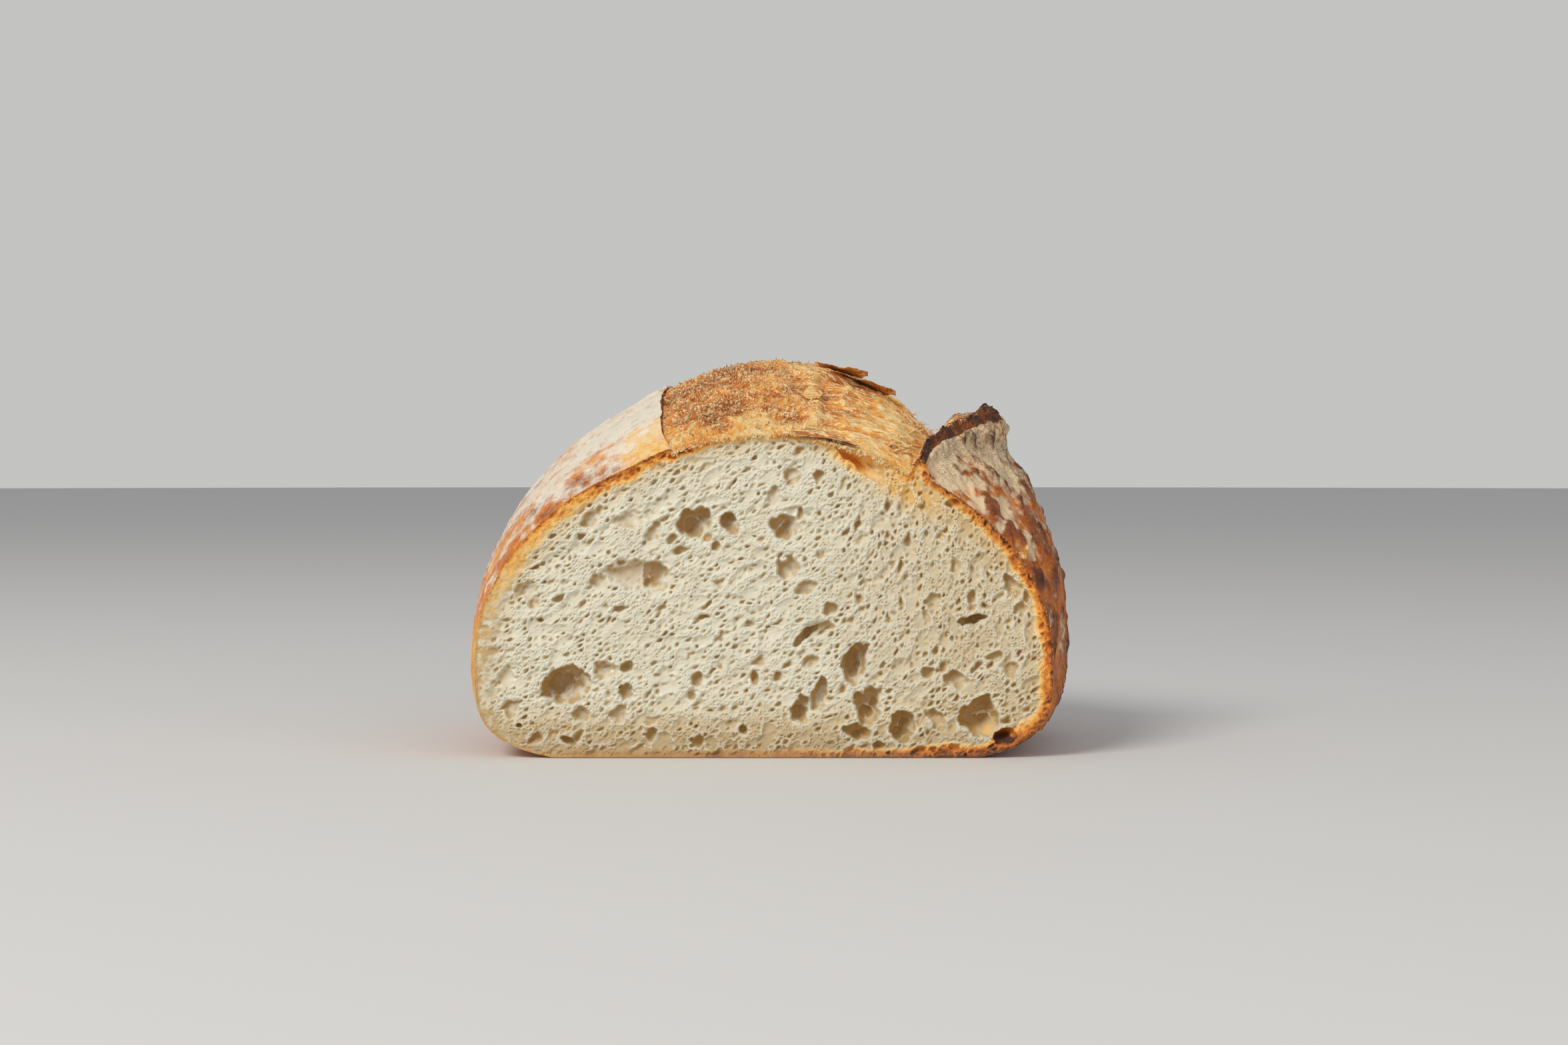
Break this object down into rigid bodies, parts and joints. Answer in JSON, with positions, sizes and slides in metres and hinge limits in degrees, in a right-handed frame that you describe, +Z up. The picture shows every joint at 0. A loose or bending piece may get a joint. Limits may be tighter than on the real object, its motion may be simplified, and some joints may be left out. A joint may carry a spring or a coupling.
{
  "type": "sourdough loaf",
  "caption": "Round crusty bread loaf with a lengthwise score, bloom and raised ear, cut crosswise to show its open crumb, resting on a flat base.",
  "frame": {"origin": "centre of the bounding box in X and Y, on the flat base that the loaf rests on", "axes": "+X to the right as the cut face is looked at, +Y from the cut face to the round back end, +Z up"},
  "size_m": [0.1766, 0.148, 0.1147],
  "materials": {
    "crust": "dry baked crust, matt, browned and floured",
    "crumb": "open bread crumb, soft cream, with a faint gloss in the holes"
  },
  "bodies": {
    "root": {"loaf": "crust"}
  },
  "joints": []
}
